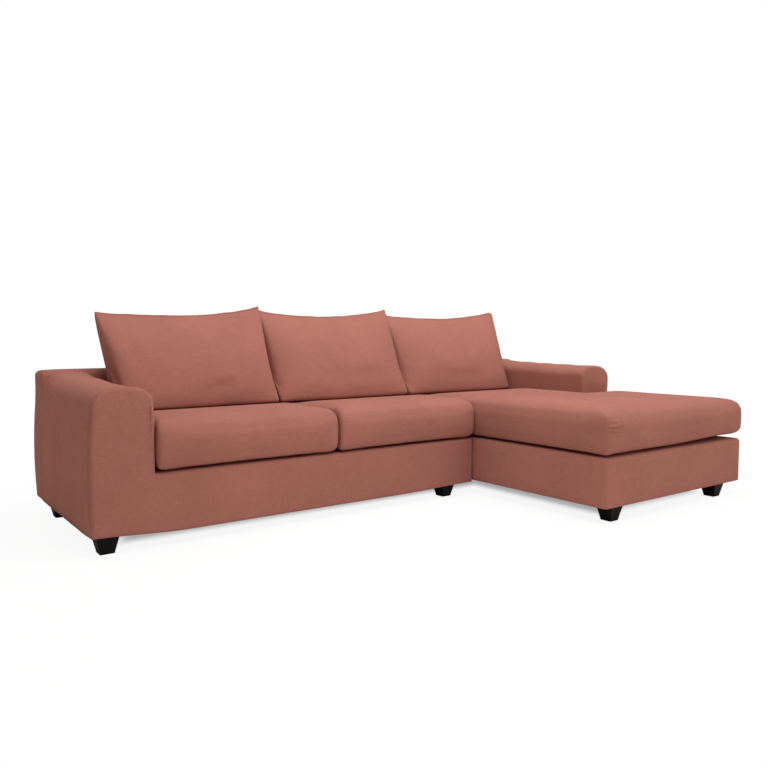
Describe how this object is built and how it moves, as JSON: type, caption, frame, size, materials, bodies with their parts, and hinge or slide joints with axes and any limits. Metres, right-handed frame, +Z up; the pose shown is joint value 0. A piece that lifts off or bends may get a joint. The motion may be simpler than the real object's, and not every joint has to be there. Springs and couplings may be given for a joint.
{
  "type": "sectional sofa",
  "caption": "Upholstered corner sofa with a right-hand chaise: low arms, loose seat and back cushions, tapered block feet, and sections that unhook from each other.",
  "frame": {"origin": "on the floor under the middle of the sofa's outline in plan", "axes": "+X along the length towards the chaise, -Y the front, +Z up"},
  "size_m": [2.774, 1.61, 0.864],
  "materials": {
    "cover_fabric": "woven, matt",
    "foam": "open-cell foam",
    "fibre_fill": "fibre in a white inner bag",
    "timber": "sawn pine",
    "plywood": "raw plywood",
    "hardboard": "raw hardboard",
    "foot_wood": "black lacquer, satin",
    "spring_wire": "drawn wire",
    "zinc_steel": "zinc plated",
    "dust_cloth": "thin black cloth"
  },
  "bodies": {
    "sofa_section": {"sofa_arm_boards": "hardboard", "sofa_arm_cover": "cover_fabric", "sofa_arm_foam": "foam", "sofa_arm_panels": "plywood", "sofa_back_board": "hardboard", "sofa_back_cover": "cover_fabric", "sofa_back_foam": "foam", "sofa_back_posts": "timber", "sofa_back_rails": "timber", "sofa_base_cover": "cover_fabric", "sofa_base_foam": "foam", "sofa_cross_rails": "timber", "sofa_deck_pad": "foam", "sofa_dust_sheet": "dust_cloth", "sofa_feet": "foot_wood", "sofa_foot_bolts": "zinc_steel", "sofa_front_rail": "timber", "sofa_join_clips": "zinc_steel", "sofa_join_screws": "zinc_steel", "sofa_leg_blocks": "timber", "sofa_rear_rail": "timber", "sofa_side_rails": "timber", "sofa_spring_clips": "zinc_steel", "sofa_springs": "spring_wire"},
    "chaise_section": {"chaise_arm_boards": "hardboard", "chaise_arm_cover": "cover_fabric", "chaise_arm_foam": "foam", "chaise_arm_panels": "plywood", "chaise_back_board": "hardboard", "chaise_back_cover": "cover_fabric", "chaise_back_foam": "foam", "chaise_back_posts": "timber", "chaise_back_rails": "timber", "chaise_base_cover": "cover_fabric", "chaise_base_foam": "foam", "chaise_cross_rails": "timber", "chaise_deck_pad": "foam", "chaise_dust_sheet": "dust_cloth", "chaise_feet": "foot_wood", "chaise_foot_bolts": "zinc_steel", "chaise_front_rail": "timber", "chaise_join_clips": "zinc_steel", "chaise_join_screws": "zinc_steel", "chaise_leg_blocks": "timber", "chaise_rear_rail": "timber", "chaise_side_rails": "timber", "chaise_spring_clips": "zinc_steel", "chaise_springs": "spring_wire"},
    "left_seat_cushion": {"left_seat_cover": "cover_fabric", "left_seat_core": "foam"},
    "middle_seat_cushion": {"middle_seat_cover": "cover_fabric", "middle_seat_core": "foam"},
    "chaise_seat_cushion": {"chaise_seat_cover": "cover_fabric", "chaise_seat_core": "foam"},
    "left_back_cushion": {"left_back_cover": "cover_fabric", "left_back_core": "fibre_fill"},
    "middle_back_cushion": {"middle_back_cover": "cover_fabric", "middle_back_core": "fibre_fill"},
    "right_back_cushion": {"right_back_cover": "cover_fabric", "right_back_core": "fibre_fill"}
  },
  "joints": [
    {"name": "chaise_section_lift", "type": "slide", "parent": "sofa_section", "child": "chaise_section", "axis": [0, 0, 1], "range_m": [0, 0.04]},
    {"name": "left_seat_cushion_pull", "type": "slide", "parent": "sofa_section", "child": "left_seat_cushion", "axis": [0, -1, 0], "range_m": [0, 0.6]},
    {"name": "middle_seat_cushion_pull", "type": "slide", "parent": "sofa_section", "child": "middle_seat_cushion", "axis": [0, -1, 0], "range_m": [0, 0.6]},
    {"name": "chaise_seat_cushion_pull", "type": "slide", "parent": "chaise_section", "child": "chaise_seat_cushion", "axis": [0, -1, 0], "range_m": [0, 0.6]},
    {"name": "left_back_cushion_lift", "type": "slide", "parent": "sofa_section", "child": "left_back_cushion", "axis": [0, 0, 1], "range_m": [0, 0.3]},
    {"name": "middle_back_cushion_lift", "type": "slide", "parent": "sofa_section", "child": "middle_back_cushion", "axis": [0, 0, 1], "range_m": [0, 0.3]},
    {"name": "right_back_cushion_lift", "type": "slide", "parent": "chaise_section", "child": "right_back_cushion", "axis": [0, 0, 1], "range_m": [0, 0.3]}
  ]
}
